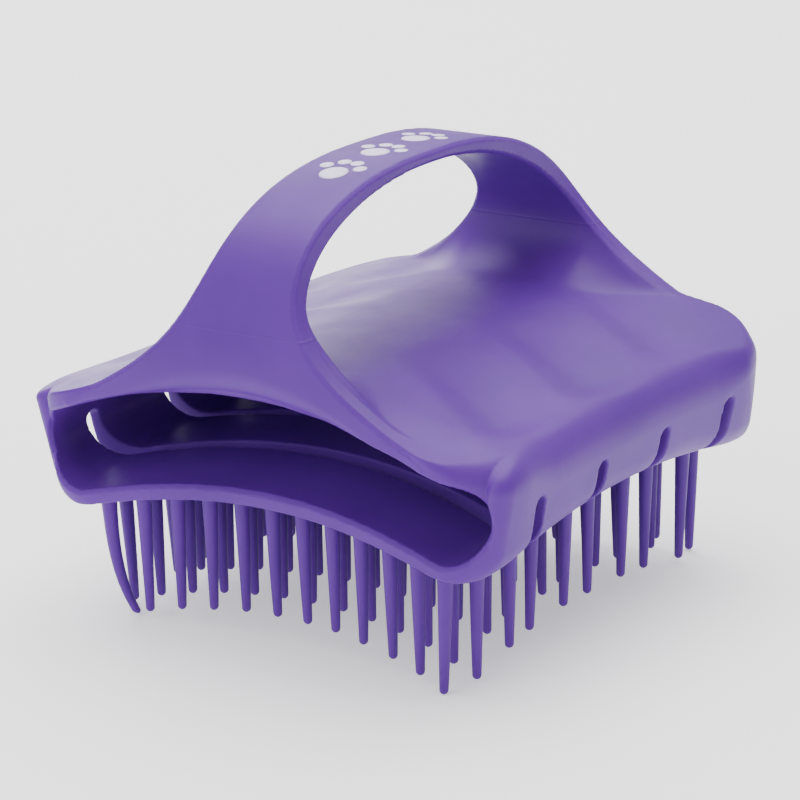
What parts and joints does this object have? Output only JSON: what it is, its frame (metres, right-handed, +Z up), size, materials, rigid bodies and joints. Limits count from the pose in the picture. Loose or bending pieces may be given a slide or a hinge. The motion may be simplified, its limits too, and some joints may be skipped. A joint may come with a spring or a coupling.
{
  "type": "curry comb",
  "caption": "Flexible rubber curry comb: hollow arched sleeve with a hand strap over its deck and rows of tapered pins under slit floor strips.",
  "frame": {"origin": "centre of the footprint, in the plane that the lowest pin tips stand on", "axes": "+X to the right side wall, +Y to the back opening, along the strap, +Z up from the pins to the strap"},
  "size_m": [0.1076, 0.1068, 0.086],
  "materials": {
    "rubber": "satin purple moulded rubber"
  },
  "bodies": {
    "comb_body": {"handle_strap": "rubber", "palm_deck": "rubber", "left_side_wall": "rubber", "right_side_wall": "rubber"},
    "strip_1": {"floor_strip_1": "rubber", "pin_row_01": "rubber", "pin_row_02": "rubber"},
    "strip_2": {"floor_strip_2": "rubber", "pin_row_03": "rubber", "pin_row_04": "rubber"},
    "strip_3": {"floor_strip_3": "rubber", "pin_row_05": "rubber", "pin_row_06": "rubber"},
    "strip_4": {"floor_strip_4": "rubber", "pin_row_07": "rubber", "pin_row_08": "rubber"},
    "strip_5": {"floor_strip_5": "rubber", "pin_row_09": "rubber", "pin_row_10": "rubber"}
  },
  "joints": [
    {"name": "strip_1_give", "type": "slide", "parent": "comb_body", "child": "strip_1", "axis": [0, 0, 1], "range_m": [0, 0.003], "stiffness_N_per_m": 2000},
    {"name": "strip_2_give", "type": "slide", "parent": "comb_body", "child": "strip_2", "axis": [0, 0, 1], "range_m": [0, 0.003], "stiffness_N_per_m": 2000},
    {"name": "strip_3_give", "type": "slide", "parent": "comb_body", "child": "strip_3", "axis": [0, 0, 1], "range_m": [0, 0.003], "stiffness_N_per_m": 2000},
    {"name": "strip_4_give", "type": "slide", "parent": "comb_body", "child": "strip_4", "axis": [0, 0, 1], "range_m": [0, 0.003], "stiffness_N_per_m": 2000},
    {"name": "strip_5_give", "type": "slide", "parent": "comb_body", "child": "strip_5", "axis": [0, 0, 1], "range_m": [0, 0.003], "stiffness_N_per_m": 2000}
  ]
}
